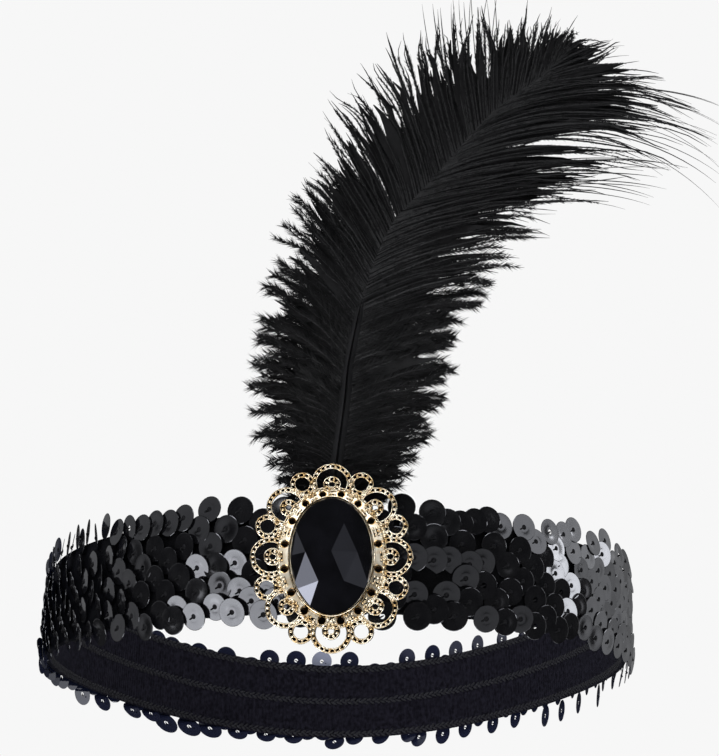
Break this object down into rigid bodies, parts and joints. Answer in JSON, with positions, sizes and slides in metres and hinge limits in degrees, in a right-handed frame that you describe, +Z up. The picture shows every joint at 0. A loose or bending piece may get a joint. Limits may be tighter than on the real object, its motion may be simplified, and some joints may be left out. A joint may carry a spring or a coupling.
{
  "type": "flapper feather headband",
  "caption": "Costume headband: a stretch band faced with black sequins, a pierced gilt brooch with a faceted oval stone at the brow, and a curving black plume held behind it.",
  "frame": {"origin": "middle of the head opening: the centre of the loop in plan, at the mean height of the band's middle line", "axes": "+Z up with the head upright, -Y to the wearer's front where the brooch is, +X to the right of someone facing the wearer"},
  "size_m": [0.1634, 0.2056, 0.209],
  "materials": {
    "elastic": "matte black knitted elastic with fine upright ribs and chain stitch ridges",
    "sequins": "glossy black, slightly cupped discs",
    "felt": "matte black felt",
    "gilt": "bright pale gold plating over beaded wire",
    "stone": "polished opaque black, faceted",
    "feather": "soft black ostrich barbs with a faint sheen"
  },
  "bodies": {
    "root": {"elastic_band": "elastic", "sequin_field": "sequins", "mounting_pad": "felt", "brooch_setting": "gilt", "brooch_stone": "stone", "feather": "feather"}
  },
  "joints": []
}
